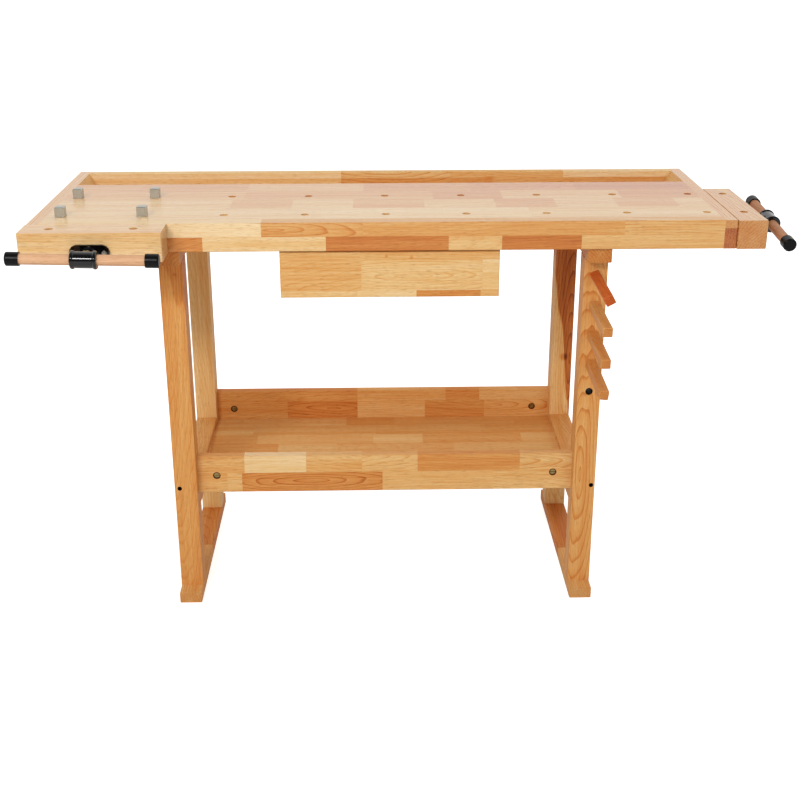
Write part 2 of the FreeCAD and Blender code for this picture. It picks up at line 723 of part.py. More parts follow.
def wood_screws():
    """Screws that hold the top on the bearers and the vise brackets under the panel."""
    spots = []
    for side in ("left", "right"):
        for y in bearer_screw_rows():
            spots.append(((f"{LEG_X[side]} + leg / 2", y, f"{LEG_TOP} + screw_sink"),
                          "bearer_screw_length"))
    bracket_low = f"{PANEL_LOW} - bracket_flange"
    for along in ("bracket_screw_end", "(bracket_length - bracket_screw_end)"):
        for side in ("-", "+"):
            spots.append(((f"{LEFT} + {FRONT_VISE_X} {side} bracket_screw_offset",
                           f"{INNER_FRONT} + {along}", bracket_low), "bracket_screw_length"))
            spots.append(((f"{RIGHT} - cap_thick - {along}",
                           f"{FRONT} + {TAIL_VISE_Y} {side} bracket_screw_offset", bracket_low),
                          "bracket_screw_length"))
    screws = []
    for number, ((x, y, z), length) in enumerate(spots, start=1):
        head = cylinder(f"wood_screw_head_{number}", "screw_head_radius", "screw_head_height",
                        (x, y, f"{z} - screw_head_height"))
        shank = cylinder(f"wood_screw_shank_{number}", "screw_radius", length, (x, y, z))
        screws.append(fused(f"wood_screw_{number}", head, shank))
    group("wood_screws", screws)


# ---------------------------------------------------------------- vises
def vise(name, spot, quarter, wall, jaw, dogs, hub):
    """One vise, drawn in its own frame and turned a quarter for the tail vise.

    The frame's origin is where the screw's axis meets the outer face of the bench, with +Y
    into the bench and +Z up.  spot turns a point of that frame into one of the bench's.
    hub names how far the hub stands out, how far its handle has slid and how far it is turned.
    """
    hub_reach, shift, roll = hub
    turn = FreeCAD.Rotation(FreeCAD.Vector(0, 0, 1), quarter)
    rolled = turn.multiply(FreeCAD.Rotation(FreeCAD.Vector(0, 1, 0), value(roll)))
    origin = spot("0", "0")
    jaw_face = f"(jaw_gap + {jaw}_thick)"
    hub_at = f"({jaw_face} + {hub_reach})"
    reach = f"({wall} + vise_travel + vise_engaged)"
    vise_jaw(name, spot, turn, jaw, jaw_face, dogs)
    vise_plate(name, spot("0", f"-{jaw_face} - plate_thick"), turn)
    plate_bolts(name, spot("0", f"-{jaw_face}"), turn)
    rods = [cylinder(f"{name}_rod_{side}", "guide_rod_radius",
                     f"{reach} + jaw_gap + guide_rod_socket - wood_fit",
                     (f"{sign}guide_rod_offset", "-jaw_gap - guide_rod_socket + wood_fit", "0"),
                     turned_to((0, 1, 0)))
            for side, sign in (("left", "-"), ("right", ""))]
    group(f"{name}_guide_rods", rods, origin, turn)
    vise_screw(name, spot("0", f"-{jaw_face}"), turn, f"{jaw_face} + {reach}")
    vise_hub(name, spot("0", f"-{hub_at}"), rolled, hub_reach)
    vise_handle(name, spot("0", f"-{hub_at}"), rolled, shift)
    vise_bracket(name, spot("0", wall), turn)


def vise_jaw(name, spot, turn, jaw, jaw_face, dogs):
    """Wooden moving jaw, bored for the screw, the guide rods, the plate bolts and two dogs."""
    half = f"({jaw}_length / 2)"
    thick = f"{jaw}_thick"
    rise = "(edge_height - screw_drop)"
    body = new_body(f"{name}_jaw", spot(f"-{half}", f"-{jaw_face}", f"-{rise}"), turn)
    block(body, ("0", "0", "0"), (f"{jaw}_length", thick, "edge_height"))
    drill(body, "back", "0", thick, [(half, rise)], "vise_screw_radius + bore_gap")
    drill(body, "back", "0", "seat_gap + collar_thick + bore_gap", [(half, rise)],
          "collar_radius + bore_gap")
    rods = [(f"{half} - guide_rod_offset", rise), (f"{half} + guide_rod_offset", rise)]
    drill(body, "front", thick, "guide_rod_socket", rods, "guide_rod_radius + fastener_fit")
    bolts = [(f"{half} - plate_bolt_offset", rise), (f"{half} + plate_bolt_offset", rise)]
    drill(body, "back", "0", "plate_bolt_length - plate_thick + wood_fit", bolts,
          "plate_bolt_radius + fastener_fit")
    holes = [(f"{half} + {place_along}", f"{thick} / 2") for place_along in dogs]
    drill(body, "down", "edge_height", "edge_height", holes, "dog_hole_radius")
    for way in ("x", "z"):
        soften(body, "soft_edge", way, "-y")


def vise_plate(name, at, turn):
    """Round-ended cast plate on the jaw, in which the screw's neck turns."""
    body = new_body(f"{name}_plate", at, turn)
    straight = "((plate_length - plate_height) / 2)"
    high = "(plate_height / 2)"
    sketch = new_sketch(body, "XZ_Plane")
    draw_outline(sketch, [
        (f"-{straight}", f"-{high}"),
        (straight, f"-{high}", straight, "0", 1),
        (straight, high),
        (f"-{straight}", high, f"-{straight}", "0", 1),
    ])
    pad(body, sketch, "plate_thick", backward=True)
    drill(body, "back", "0", "plate_thick", [("0", "0")], "neck_radius + running_fit")
    bolts = [("-plate_bolt_offset", "0"), ("plate_bolt_offset", "0")]
    drill(body, "back", "0", "plate_thick", bolts, "plate_bolt_radius + fastener_fit")
    return body


def plate_bolts(name, at, turn):
    """Two slotted bolts that hold the plate on the jaw."""
    bolts = []
    for side, x in (("left", "-plate_bolt_offset"), ("right", "plate_bolt_offset")):
        head_at = (x, "-plate_thick - plate_bolt_head_height", "0")
        head = cylinder(f"{name}_{side}_bolt_head", "plate_bolt_head", "plate_bolt_head_height",
                        head_at, turned_to((0, 1, 0)))
        shank = cylinder(f"{name}_{side}_bolt_shank", "plate_bolt_radius", "plate_bolt_length",
                         (x, "-plate_thick", "0"), turned_to((0, 1, 0)))
        slot = doc.addObject("Part::Box", f"{name}_{side}_bolt_slot")
        slot.setExpression("Length", bound("4 * plate_bolt_head"))
        slot.setExpression("Width", bound("nut_slot"))
        slot.setExpression("Height", bound("nut_slot"))
        place(slot, (f"{x} - 2 * plate_bolt_head", head_at[1], "-nut_slot / 2"))
        whole = fused(f"{name}_{side}_bolt_blank", head, shank)
        bolts.append(less(f"{name}_{side}_bolt", whole, slot))
    group(f"{name}_plate_bolts", bolts, at, turn)


def vise_screw(name, at, turn, length):
    """Steel screw: a stepped tail in the hub, the threaded length and a chamfered tip."""
    body = new_body(f"{name}_screw", at, turn)
    step = "seat_gap"
    tip = f"({length})"
    turn_profile(body, "YZ_Plane", [
        (f"{step} - vise_screw_tail", "0"),
        (f"{step} - vise_screw_tail", "vise_screw_tail_radius"),
        (step, "vise_screw_tail_radius"),
        (step, "vise_screw_radius"),
        (f"{tip} - vise_screw_bevel", "vise_screw_radius"),
        (tip, "vise_screw_radius - vise_screw_bevel"),
        (tip, "0"),
    ], "H_Axis")
    collar = new_body(f"{name}_screw_collar", at, turn)
    inner = "vise_screw_radius + fastener_fit"
    turn_profile(collar, "YZ_Plane", [
        (step, inner),
        (step, "collar_radius"),
        (f"{step} + collar_thick", "collar_radius"),
        (f"{step} + collar_thick", inner),
    ], "H_Axis")


HUB_RADIUS = "(handle_radius + handle_gap + hub_wall)"
BEAD_CENTRE = f"({HUB_RADIUS} + hub_bead_rise / 2 - hub_bead * hub_bead / (8 * hub_bead_rise))"


def vise_hub(name, at, turn, reach):
    """Cast hub: a cross tube with beaded ends for the handle, on a shouldered neck."""
    body = new_body(f"{name}_hub", at, turn)
    half = "(hub_length / 2)"
    turn_profile(body, "XZ_Plane", [
        (f"-{half}", "0"),
        (f"-{half}", HUB_RADIUS, f"-{half} + hub_bead / 2", BEAD_CENTRE, -1),
        (f"-{half} + hub_bead", HUB_RADIUS),
        (f"{half} - hub_bead", HUB_RADIUS, f"{half} - hub_bead / 2", BEAD_CENTRE, -1),
        (half, HUB_RADIUS),
        (half, "0"),
    ], "H_Axis")
    root = f"({HUB_RADIUS} + neck_root)"
    flared = "(neck_radius + neck_flare)"
    neck_end = f"({reach} + seat_gap)"
    shoulder = f"({reach} - plate_thick - seat_gap)"
    turn_profile(body, "YZ_Plane", [
        ("0", "0"),
        ("0", flared),
        (root, flared, f"{root} + neck_flare", flared, 1),
        (f"{root} + neck_flare", "neck_radius"),
        (f"{shoulder} - shoulder_length - shoulder_ramp", "neck_radius"),
        (f"{shoulder} - shoulder_length", "shoulder_radius"),
        (shoulder, "shoulder_radius"),
        (shoulder, "neck_radius"),
        (neck_end, "neck_radius"),
        (neck_end, "0"),
    ], "H_Axis")
    drill(body, "front", neck_end, "vise_screw_tail + wood_fit", [("0", "0")],
          "vise_screw_tail_radius + fastener_fit")
    drill(body, "left", half, "hub_length", [("0", "0")], "handle_radius + handle_gap")


def vise_handle(name, at, turn, shift):
    """Wooden dowel through the hub with a rounded cap pressed on each end."""
    body = new_body(f"{name}_handle", at, turn)
    half = "(handle_length / 2 - handle_cap_wall)"
    turn_profile(body, "XZ_Plane", [
        (f"{shift} - {half}", "0"),
        (f"{shift} - {half}", "handle_radius"),
        (f"{shift} + {half}", "handle_radius"),
        (f"{shift} + {half}", "0"),
    ], "H_Axis")
    inner = "(handle_radius + fastener_fit)"
    outer = f"({inner} + handle_cap_side)"
    caps = []
    for side, sign, way in (("left", "-", 1), ("right", "+", -1)):
        cap = doc.addObject("PartDesign::Body", f"{name}_{side}_cap")
        tip = f"({shift} {sign} handle_length / 2)"
        mouth = f"({tip} - ({sign}handle_cap_length))"
        shoulder = f"({tip} - ({sign}handle_cap_round))"
        floor = f"({tip} - ({sign}handle_cap_wall))"
        turn_profile(cap, "XZ_Plane", [
            (mouth, inner),
            (mouth, outer),
            (shoulder, outer, shoulder, f"{outer} - handle_cap_round", way),
            (tip, f"{outer} - handle_cap_round"),
            (tip, "0"),
            (floor, "0"),
            (floor, inner),
        ], "H_Axis")
        caps.append(cap)
    group(f"{name}_handle_caps", caps, at, turn)


HALF_BRACKET = "(guide_rod_offset + rod_lobe_radius + bracket_margin)"


def vise_bracket(name, at, turn):
    """Cast bracket screwed under the panel: a nut boss between two guide sleeves."""
    body = new_body(f"{name}_bracket", at, turn)
    sketch = new_sketch(body, "XZ_Plane")
    draw_outline(sketch, bracket_section())
    pad(body, sketch, "bracket_length", backward=True)
    plate_low = "(edge_height - screw_drop - tray_floor_lift)"
    block(body, (f"-{HALF_BRACKET}", "0", f"-{plate_low}"),
          (f"2 * {HALF_BRACKET}", "bracket_plate", f"screw_drop - panel_thick + {plate_low}"))
    drill(body, "back", "0", "bracket_length", [("0", "0")], "vise_screw_radius + running_fit")
    rods = [("-guide_rod_offset", "0"), ("guide_rod_offset", "0")]
    drill(body, "back", "0", "bracket_length", rods, "guide_rod_radius + running_fit")
    screws = [(f"{side}bracket_screw_offset", along) for side in ("-", "")
              for along in ("bracket_screw_end", "bracket_length - bracket_screw_end")]
    drill(body, "down", "screw_drop - panel_thick", "bracket_flange", screws,
          "screw_radius + fastener_fit")


def bracket_section():
    """Corners of the bracket's section: a flat flange on top and three round-bottomed lobes."""
    top = "(screw_drop - panel_thick)"
    flange = f"({top} - bracket_flange)"
    lobes = [("-guide_rod_offset", "rod_lobe_radius"), ("0", "nut_lobe_radius"),
             ("guide_rod_offset", "rod_lobe_radius")]
    corners = [(f"-{HALF_BRACKET}", flange)]
    for centre, radius in lobes:
        corners.append((f"{centre} - {radius}", flange))
        corners.append((f"{centre} - {radius}", "0", centre, "0", 1))
        corners.append((f"{centre} + {radius}", "0"))
        corners.append((f"{centre} + {radius}", flange))
    return corners + [(HALF_BRACKET, flange), (HALF_BRACKET, top), (f"-{HALF_BRACKET}", top)]


def front_vise():
    """Vise on the front apron, at its left end."""
    def spot(along, inward, up="0"):
        return (f"{LEFT} + {FRONT_VISE_X} + {along}", f"{FRONT} + {inward}", f"{SCREW_AXIS} + {up}")
    dogs = [f"({column} - {FRONT_VISE_X})" for column in dog_columns(2)]
    hub = ("front_hub_reach", "front_handle_shift", "front_turn")
    vise("front_vise", spot, 0, "apron_thick", "front_jaw", dogs, hub)


def tail_vise():
    """Vise on the right end cap."""
    def spot(along, inward, up="0"):
        return (f"{RIGHT} - ({inward})", f"{FRONT} + {TAIL_VISE_Y} + {along}", f"{SCREW_AXIS} + {up}")
    dogs = [f"({row} - {TAIL_VISE_Y})" for row in ("dog_front_row", "dog_back_row")]
    hub = ("tail_hub_reach", "tail_handle_shift", "tail_turn")
    vise("tail_vise", spot, 90, "cap_thick", "tail_jaw", dogs, hub)


# ---------------------------------------------------------------- loose pieces
def bench_dogs():
    """Square-headed steel dogs standing in the first two holes of both rows."""
    number = 0
    for row in ("dog_front_row", "dog_back_row"):
        for column in dog_columns(2):
            number += 1
            body = new_body(f"bench_dog_{number}",
                            (f"{LEFT} + {column}", f"{FRONT} + {row}", "bench_height + seat_gap"))
            block(body, ("-dog_head / 2", "-dog_head / 2 - dog_head_shift", "0"),
                  ("dog_head", "dog_head", "dog_head_height"))
            shank = new_sketch(body, "XY_Plane")
            draw_circles(shank, [("0", "0")], "dog_hole_radius - dog_fit")
            pad(body, shank, "dog_shank_length", backward=True)
            soften(body, "soft_edge", "x", "+z")
            soften(body, "soft_edge", "y", "+z")


PEG_ROLLS = (28, 0, 0, -6)
PEG_DROOPS = (1.1, 1.4, 2.1, 2.8)


def pegs():
    """Square pegs that stand out of the right front leg, loose enough in their holes to sag."""
    for number, (height, roll, droop) in enumerate(zip(peg_heights(), PEG_ROLLS, PEG_DROOPS), 1):
        sag = FreeCAD.Rotation(FreeCAD.Vector(1, 0, 0), droop)
        spin = FreeCAD.Rotation(FreeCAD.Vector(0, 1, 0), -roll)
        pivot = f"{LEG_Y['front']} + peg_tenon_length / 2"
        body = new_body(f"peg_{number}", (f"{LEG_X['right']} + leg / 2", pivot, height),
                        sag.multiply(spin))
        shoulder = "(peg_tenon_length / 2 + peg_gap)"
        block(body, ("-peg / 2", "-peg_length - peg_tenon_length / 2", "-peg / 2"),
              ("peg", "peg_length - peg_gap", "peg"))
        tenon = new_sketch(body, "XZ_Plane", shoulder)
        draw_circles(tenon, [("0", "0")], "peg_hole_radius - peg_fit")
        pad(body, tenon, f"{shoulder} + peg_tenon_length / 2", backward=True)
        soften(body, "soft_edge", "y")
        soften(body, "soft_edge", "x", "-y")
        soften(body, "soft_edge", "z", "-y")


# ---------------------------------------------------------------- build, check and write
runners()
legs()
bearers()
mid_rails()
stretchers()
shelf()
top_panel()
edge_boards()
tray()
drawer_rails()
stretcher_fasteners()
wood_screws()
drawer()
front_vise()
tail_vise()
bench_dogs()
pegs()
doc.recompute()

by_body = {}
for body, size, along, faces in softened:
    edges = long_edges(body.Tip.Shape, along, faces)
    by_body.setdefault(body.Name, (body, size, []))[2].extend(edges)
for body, size, edges in by_body.values():
    feature = body.newObject("PartDesign::Chamfer", "Chamfer")
    feature.Base = (feature.BaseFeature, sorted(set(edges)))
    feature.setExpression("Size", bound(size))
doc.recompute()

faults = []
for item in doc.Objects:
    if "Invalid" in item.State or "Error" in item.State:
        faults.append(f"{item.Label}: {item.State}")
    if item.TypeId in ("PartDesign::Pocket", "PartDesign::Chamfer"):
        if item.Shape.Volume >= item.BaseFeature.Shape.Volume - 1e-6:
            faults.append(f"{item.Label} took nothing away")
for piece in pieces:
    if piece.Shape.isNull() or not piece.Shape.isValid():
        faults.append(f"{piece.Label}: no valid shape")
if faults:
    raise SystemExit("\n".join(faults))

os.makedirs("parts", exist_ok=True)
for piece in pieces:
    piece.Shape.exportStep(f"parts/{piece.Label}.step")
print(len(pieces), "sub-parts,", sum(len(piece.Shape.Solids) for piece in pieces), "solids")
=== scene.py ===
import math
import random

import bpy
from mathutils import Matrix, Vector

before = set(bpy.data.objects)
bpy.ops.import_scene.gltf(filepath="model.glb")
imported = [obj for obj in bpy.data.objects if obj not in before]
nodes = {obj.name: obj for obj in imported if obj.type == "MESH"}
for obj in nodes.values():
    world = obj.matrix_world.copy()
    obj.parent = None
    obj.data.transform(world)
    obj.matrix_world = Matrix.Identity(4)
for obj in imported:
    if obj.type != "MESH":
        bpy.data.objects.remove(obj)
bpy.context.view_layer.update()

# ------------------------------------------------------------------ runners, legs and bearers
# The end frames: two floor runners, four square legs, two side rails and two bearers.  Solid
# rubberwood, planed, sanded and brushed with a satin honey lacquer; stub tenons hold the legs.


def linear(code):
    """Turn an sRGB hex colour into the linear colour that the shader wants."""
    channels = [int(code[step:step + 2], 16) / 255 for step in (1, 3, 5)]
    return [c / 12.92 if c <= 0.04045 else ((c + 0.055) / 1.055) ** 2.4 for c in channels] + [1.0]


def add(tree, kind, *inputs, **settings):
    """Add a shader node with its settings and links.

    inputs fill its sockets in order and settings go to its properties, or to its sockets by name
    with _ for a blank; each socket takes a number, a colour, or a node or output to link from.
    """
    node = tree.nodes.new("ShaderNode" + kind)
    sockets = {place: value for place, value in enumerate(inputs) if value is not None}
    for name, value in settings.items():
        if hasattr(node, name):
            setattr(node, name, value)
        else:
            sockets[name.replace("_", " ")] = value
    for place, value in sockets.items():
        if hasattr(value, "outputs"):
            value = value.outputs[0]
        if isinstance(value, bpy.types.NodeSocket):
            tree.links.new(value, node.inputs[place])
        else:
            node.inputs[place].default_value = value
    return node


def start_material(name):
    """Start an empty material and give its tree."""
    material = bpy.data.materials.new(name)
    material.use_nodes = True
    material.node_tree.nodes.clear()
    return material, material.node_tree


def fill_ramp(node, stops):
    """Fill a colour ramp with (position, colour) stops."""
    elements = node.color_ramp.elements
    while len(elements) < len(stops):
        elements.new(0.5)
    while len(elements) > len(stops):
        elements.remove(elements[-1])
    for element, (position, colour) in zip(elements, stops):
        element.position = position
        element.color = colour


# From the black of an unlit bore through heartwood and honey to the palest sapwood.
WOOD_TONES = ((0.0, "#1C110B"), (0.2, "#7C3D1A"), (0.36, "#B4612A"), (0.52, "#CC7F3C"),
              (0.68, "#D99C57"), (0.84, "#E4BA7C"), (1.0, "#EED3A6"))
TONE_START = 0.2            # where tone 0, the darkest heartwood, lies on that scale
NOISE_RANGE = (0.3, 0.7)    # where nearly all of a noise's values lie
PITH_BELOW = 60.0           # mm by which a pith may lie below the lowest row
PITH_ABOVE = 110.0          # mm by which it may lie above the last row's lower edge
PITH_BEYOND = 150.0         # mm by which it may lie past either end of the board
ROW_END = 0.999             # just under 1, so that a row's far end isn't taken for the next row
GLUE_LINE = 0.5             # mm to each side of the joint between two rows
GLUE_DARK = 0.07            # tone that the joint loses
RING_PERIOD = 5.5           # mm from one growth ring to the next
RING_LEAN = 0.13            # slope of the pith against the board, which draws rings out to arches
RING_WAVER = 2.5            # rings by which the arches wander
RING_DARK = 0.32            # tone that a ring's last, densest wood loses
EARLY_SHARE = 0.3           # share of that which comes evenly through the ring
LATE_WOOD = (0.7, 0.95)     # where in the ring the rest sets in, and where it is complete
DRIFT_SCALE = 0.035         # per mm, so that rings and colour drift over about 30 mm
STAVE_SHIFT = 3170.0        # mm, much more than a board, so that no two staves share their figure
WAVER_STRETCH = 0.12        # width over length of a wandering of the rings
FIBRE_STRETCH = 0.025       # width over length of streaks, threads and drifts of colour
PORE_STRETCH = 0.06         # width over length of pores
STREAK_WIDTH = 2.6          # mm, a bundle of fibres; single fibres are too fine to show
STREAK_TONES = (-0.1, 0.1)  # change of tone over a noise's range
DRIFT_TONES = (-0.09, 0.09)
THREAD_WIDTH = 1.3          # mm, the dark threads between the streaks
THREAD_RANGE = (0.58, 0.78)
THREAD_TONES = (0.03, -0.15)
PORE_WIDTH = 1.0            # mm; real pores are 0.3 mm wide, drawn coarser so that they show
PORE_CLUSTER = 0.25         # how strongly pores gather where the colour drifts
PORE_RANGE = (0.7, 0.84)
PORE_SHOW = 0.4             # how far a pore takes on its stain
PORE_STAIN = "#B07848"
PORE_DIP = 1.2              # depth of a pore against the height of the streaks
END_FACING = (0.85, 0.95)   # how squarely a face looks along the grain where it is a cut end
END_SOAK = 0.35             # how far a cut end takes on its stain
END_STAIN = "#C99A72"
HEART_RAGGED = 45.0         # mm by which the border of a patch of heartwood strays
HEART_SOFT = 12.0           # mm to each side over which that border fades
DOG_PITCH = 159.0           # mm between neighbouring dog holes
# dog hole walls and a thin rim are drawn darker: raw bored wood, and partly painted shade of the hole's
# inside
BORE_MARGIN = 0.3           # mm past a dog hole's wall that still count as its inside
BORE_DARK = 0.06            # tone that the wall of a dog hole loses
SHEEN_SPREAD = 0.06         # how far the roughness varies with the streaks
SATIN = (0.0, 0.5, 0.15)    # brushed lacquer: coat, roughness and specular level


def rubberwood(name, axes, span, rows, face=0.0, finish=SATIN, marks=(), bores=None, heart=None,
               tones=WOOD_TONES):
    """Lacquered rubberwood, glued up from staves, with growth rings that run through the solid.

    axes names the run of the grain, the way across the rows and the depth, as "xzy", and face is
    the seen face's depth.  span is the board's first and last place along the run.  Each row is
    (its lowest edge, its staves) and each stave is (its start, its tone from 0 dark to 1 pale,
    how strongly its rings show, and where the pith comes to the face: across and along, which
    chance decides where they are left out).
    marks are dark spots, painted shade where they lie on holes and round nuts (along, across,
    radius, softness, depth of tone); bores is (x, the rows' y, radius) of dog holes, whose walls
    are darkened, partly as painted shade; heart is a patch of heartwood (along, across, slope,
    depth of tone); tones are the colours from dark to pale.  All in mm.
    """
    material, tree = start_material(name)
    chance = random.Random(name)
    coordinates = add(tree, "TexCoord")
    place = add(tree, "VectorMath", coordinates.outputs["Object"], operation="SCALE", Scale=1000.0)
    split = add(tree, "SeparateXYZ", place)
    run, across, depth = [split.outputs["xyz".index(letter)] for letter in axes]

    # which stave: one ramp holds all rows end to end, each stop carrying a stave's four values
    low = rows[0][0] - PITH_BELOW
    high = rows[-1][0] + PITH_ABOVE
    early = span[0] - PITH_BEYOND
    late = span[1] + PITH_BEYOND
    row = 0.0
    seam = 0.0
    for edge, _ in rows[1:]:
        above = add(tree, "Math", across, edge, operation="GREATER_THAN")
        row = add(tree, "Math", row, above, operation="ADD")
        glue = add(tree, "Math", across, edge, GLUE_LINE, operation="COMPARE")
        seam = add(tree, "Math", seam, glue, operation="MAXIMUM")
    share = add(tree, "MapRange", run, *span, 0.0, ROW_END)
    total = add(tree, "Math", share, row, operation="ADD")
    stave = add(tree, "ValToRGB", add(tree, "Math", total, len(rows), operation="DIVIDE"))
    stave.color_ramp.interpolation = "CONSTANT"
    stops = []
    for number, (_, staves) in enumerate(rows):
        for start, tone, rings, *pith in staves:
            reach = max(0.0, (start - span[0]) / (span[1] - span[0]))
            beside, along = pith or (chance.uniform(low, high), chance.uniform(early, late))
            value = (tone, (beside - low) / (high - low), (along - early) / (late - early), rings)
            stops.append(((number + reach) / len(rows), value))
    fill_ramp(stave, stops)
    rings = stave.outputs["Alpha"]
    tone, beside, along = add(tree, "SeparateColor", stave).outputs

    # growth rings round a pith that comes out of the face, so that flat faces show arches
    pith_beside = add(tree, "MapRange", beside, 0.0, 1.0, low, high)
    pith_along = add(tree, "MapRange", along, 0.0, 1.0, early, late)
    side = add(tree, "Math", across, pith_beside, operation="SUBTRACT")
    rise = add(tree, "Math", run, pith_along, operation="SUBTRACT")
    back = add(tree, "Math", rise, RING_LEAN, add(tree, "Math", depth, face, operation="SUBTRACT"),
               operation="MULTIPLY_ADD")
    chance_along = add(tree, "Math", beside, STAVE_SHIFT, pith_along, operation="MULTIPLY_ADD")
    far = add(tree, "Math", run, chance_along, operation="ADD")
    slow = add(tree, "CombineXYZ", add(tree, "Math", far, WAVER_STRETCH, operation="MULTIPLY"),
               across, depth)
    waver = add(tree, "TexNoise", slow, Scale=DRIFT_SCALE, Detail=1.0)
    radius = add(tree, "VectorMath", add(tree, "CombineXYZ", side, back), operation="LENGTH")
    years = add(tree, "Math", radius.outputs["Value"], RING_PERIOD, operation="DIVIDE")
    years = add(tree, "Math", waver, RING_WAVER, years, operation="MULTIPLY_ADD")
    ring = add(tree, "Math", years, operation="FRACT")
    late_wood = add(tree, "MapRange", ring, *LATE_WOOD, 0.0, 1.0 - EARLY_SHARE,
                    interpolation_type="SMOOTHSTEP")
    growth = add(tree, "Math", ring, EARLY_SHARE, late_wood, operation="MULTIPLY_ADD")
    growth = add(tree, "Math", growth, rings, operation="MULTIPLY")

    # fibre streaks, dark threads, drifting colour and pores, all long along the run
    fibre = add(tree, "CombineXYZ", add(tree, "Math", far, FIBRE_STRETCH, operation="MULTIPLY"),
                across, depth)
    streak = add(tree, "TexNoise", fibre, Scale=1.0 / STREAK_WIDTH, Detail=3.0, Roughness=0.6)
    cloud = add(tree, "TexNoise", fibre, Scale=DRIFT_SCALE, Detail=2.0)
    thread = add(tree, "TexNoise", fibre, Scale=1.0 / THREAD_WIDTH, Detail=1.0)
    short = add(tree, "CombineXYZ", add(tree, "Math", far, PORE_STRETCH, operation="MULTIPLY"),
                across, depth)
    pore = add(tree, "TexNoise", short, Scale=1.0 / PORE_WIDTH, Detail=1.0)
    pore = add(tree, "Math", cloud, PORE_CLUSTER, pore, operation="MULTIPLY_ADD")
    pore = add(tree, "MapRange", pore, *PORE_RANGE, 0.0, PORE_SHOW)

    # the tone of this point
    shade = add(tree, "Math", growth, -RING_DARK, tone, operation="MULTIPLY_ADD")
    for noise, values, change in ((streak, NOISE_RANGE, STREAK_TONES), (cloud, NOISE_RANGE, DRIFT_TONES),
                                  (thread, THREAD_RANGE, THREAD_TONES)):
        shift = add(tree, "MapRange", noise, *values, *change)
        shade = add(tree, "Math", shade, shift, operation="ADD")
    shade = add(tree, "Math", seam, -GLUE_DARK, shade, operation="MULTIPLY_ADD")
    if heart:
        at, over, slope, deep = heart
        border = add(tree, "Math", across, slope, -over * slope - at, operation="MULTIPLY_ADD")
        border = add(tree, "Math", border, run, operation="ADD")
        stray = add(tree, "MapRange", cloud, *NOISE_RANGE, -HEART_RAGGED, HEART_RAGGED)
        border = add(tree, "Math", stray, border, operation="ADD")
        patch = add(tree, "MapRange", border, -HEART_SOFT, HEART_SOFT, 0.0, -deep,
                    interpolation_type="SMOOTHSTEP")
        shade = add(tree, "Math", shade, patch, operation="ADD")
    # dark spots; where they lie on holes and round the barrel nuts they are painted shade
    for at, over, radius, soft, deep in marks:
        gap = add(tree, "VectorMath", add(tree, "CombineXYZ", run, across), (at, over, 0.0),
                  operation="DISTANCE").outputs["Value"]
        spot = add(tree, "MapRange", gap, radius, radius + soft, -deep, 0.0,
                   interpolation_type="SMOOTHSTEP")
        shade = add(tree, "Math", shade, spot, operation="ADD")
    # dog hole walls drawn darker: raw bored wood, and partly painted shade of the hole's inside
    if bores:
        first, lines, radius = bores
        east = add(tree, "Math", split.outputs["X"], first, operation="SUBTRACT")
        east = add(tree, "Math", east, DOG_PITCH / 2, -DOG_PITCH / 2, operation="WRAP")
        for line in lines:
            gap = add(tree, "VectorMath", add(tree, "CombineXYZ", east, split.outputs["Y"]),
                      (0.0, line, 0.0), operation="DISTANCE").outputs["Value"]
            inside = add(tree, "Math", gap, radius + BORE_MARGIN, operation="LESS_THAN")
            shade = add(tree, "Math", inside, -BORE_DARK, shade, operation="MULTIPLY_ADD")
    shade = add(tree, "Math", shade, 1.0 - TONE_START, TONE_START, operation="MULTIPLY_ADD")
    hue = add(tree, "ValToRGB", shade)
    fill_ramp(hue, [(position, linear(code)) for position, code in tones])

    # cut ends drink more lacquer and look darker; pores hold stain
    facing = add(tree, "SeparateXYZ", coordinates.outputs["Normal"])
    end = add(tree, "Math", facing.outputs["xyz".index(axes[0])], operation="ABSOLUTE")
    end = add(tree, "MapRange", end, *END_FACING, 0.0, END_SOAK)
    soaked = add(tree, "MixRGB", end, hue, linear(END_STAIN), blend_type="MULTIPLY")
    pored = add(tree, "MixRGB", pore, soaked, linear(PORE_STAIN), blend_type="MULTIPLY")

    # the lacquer is a little rougher on some streaks than on others, and sinks into the pores
    coat, rough, specular = finish
    sheen = add(tree, "MapRange", streak, *NOISE_RANGE, rough - SHEEN_SPREAD, rough + SHEEN_SPREAD)
    dip = add(tree, "Math", pore, -PORE_DIP, streak, operation="MULTIPLY_ADD")
    bump = add(tree, "Bump", Strength=0.1, Distance=0.0003, Height=dip)
    shader = add(tree, "BsdfPrincipled", Base_Color=pored, Roughness=sheen, Normal=bump, IOR=1.5,
                 Specular_IOR_Level=specular, Coat_Weight=coat, Coat_Roughness=0.12)
    add(tree, "OutputMaterial", shader)
    return material


def dress(material, *names):
    """Give a CAD node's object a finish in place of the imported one."""
    for name in names:
        mesh = nodes[name].data
        mesh.materials.clear()
        mesh.materials.append(material)


LEG_SPAN = (0, 770)
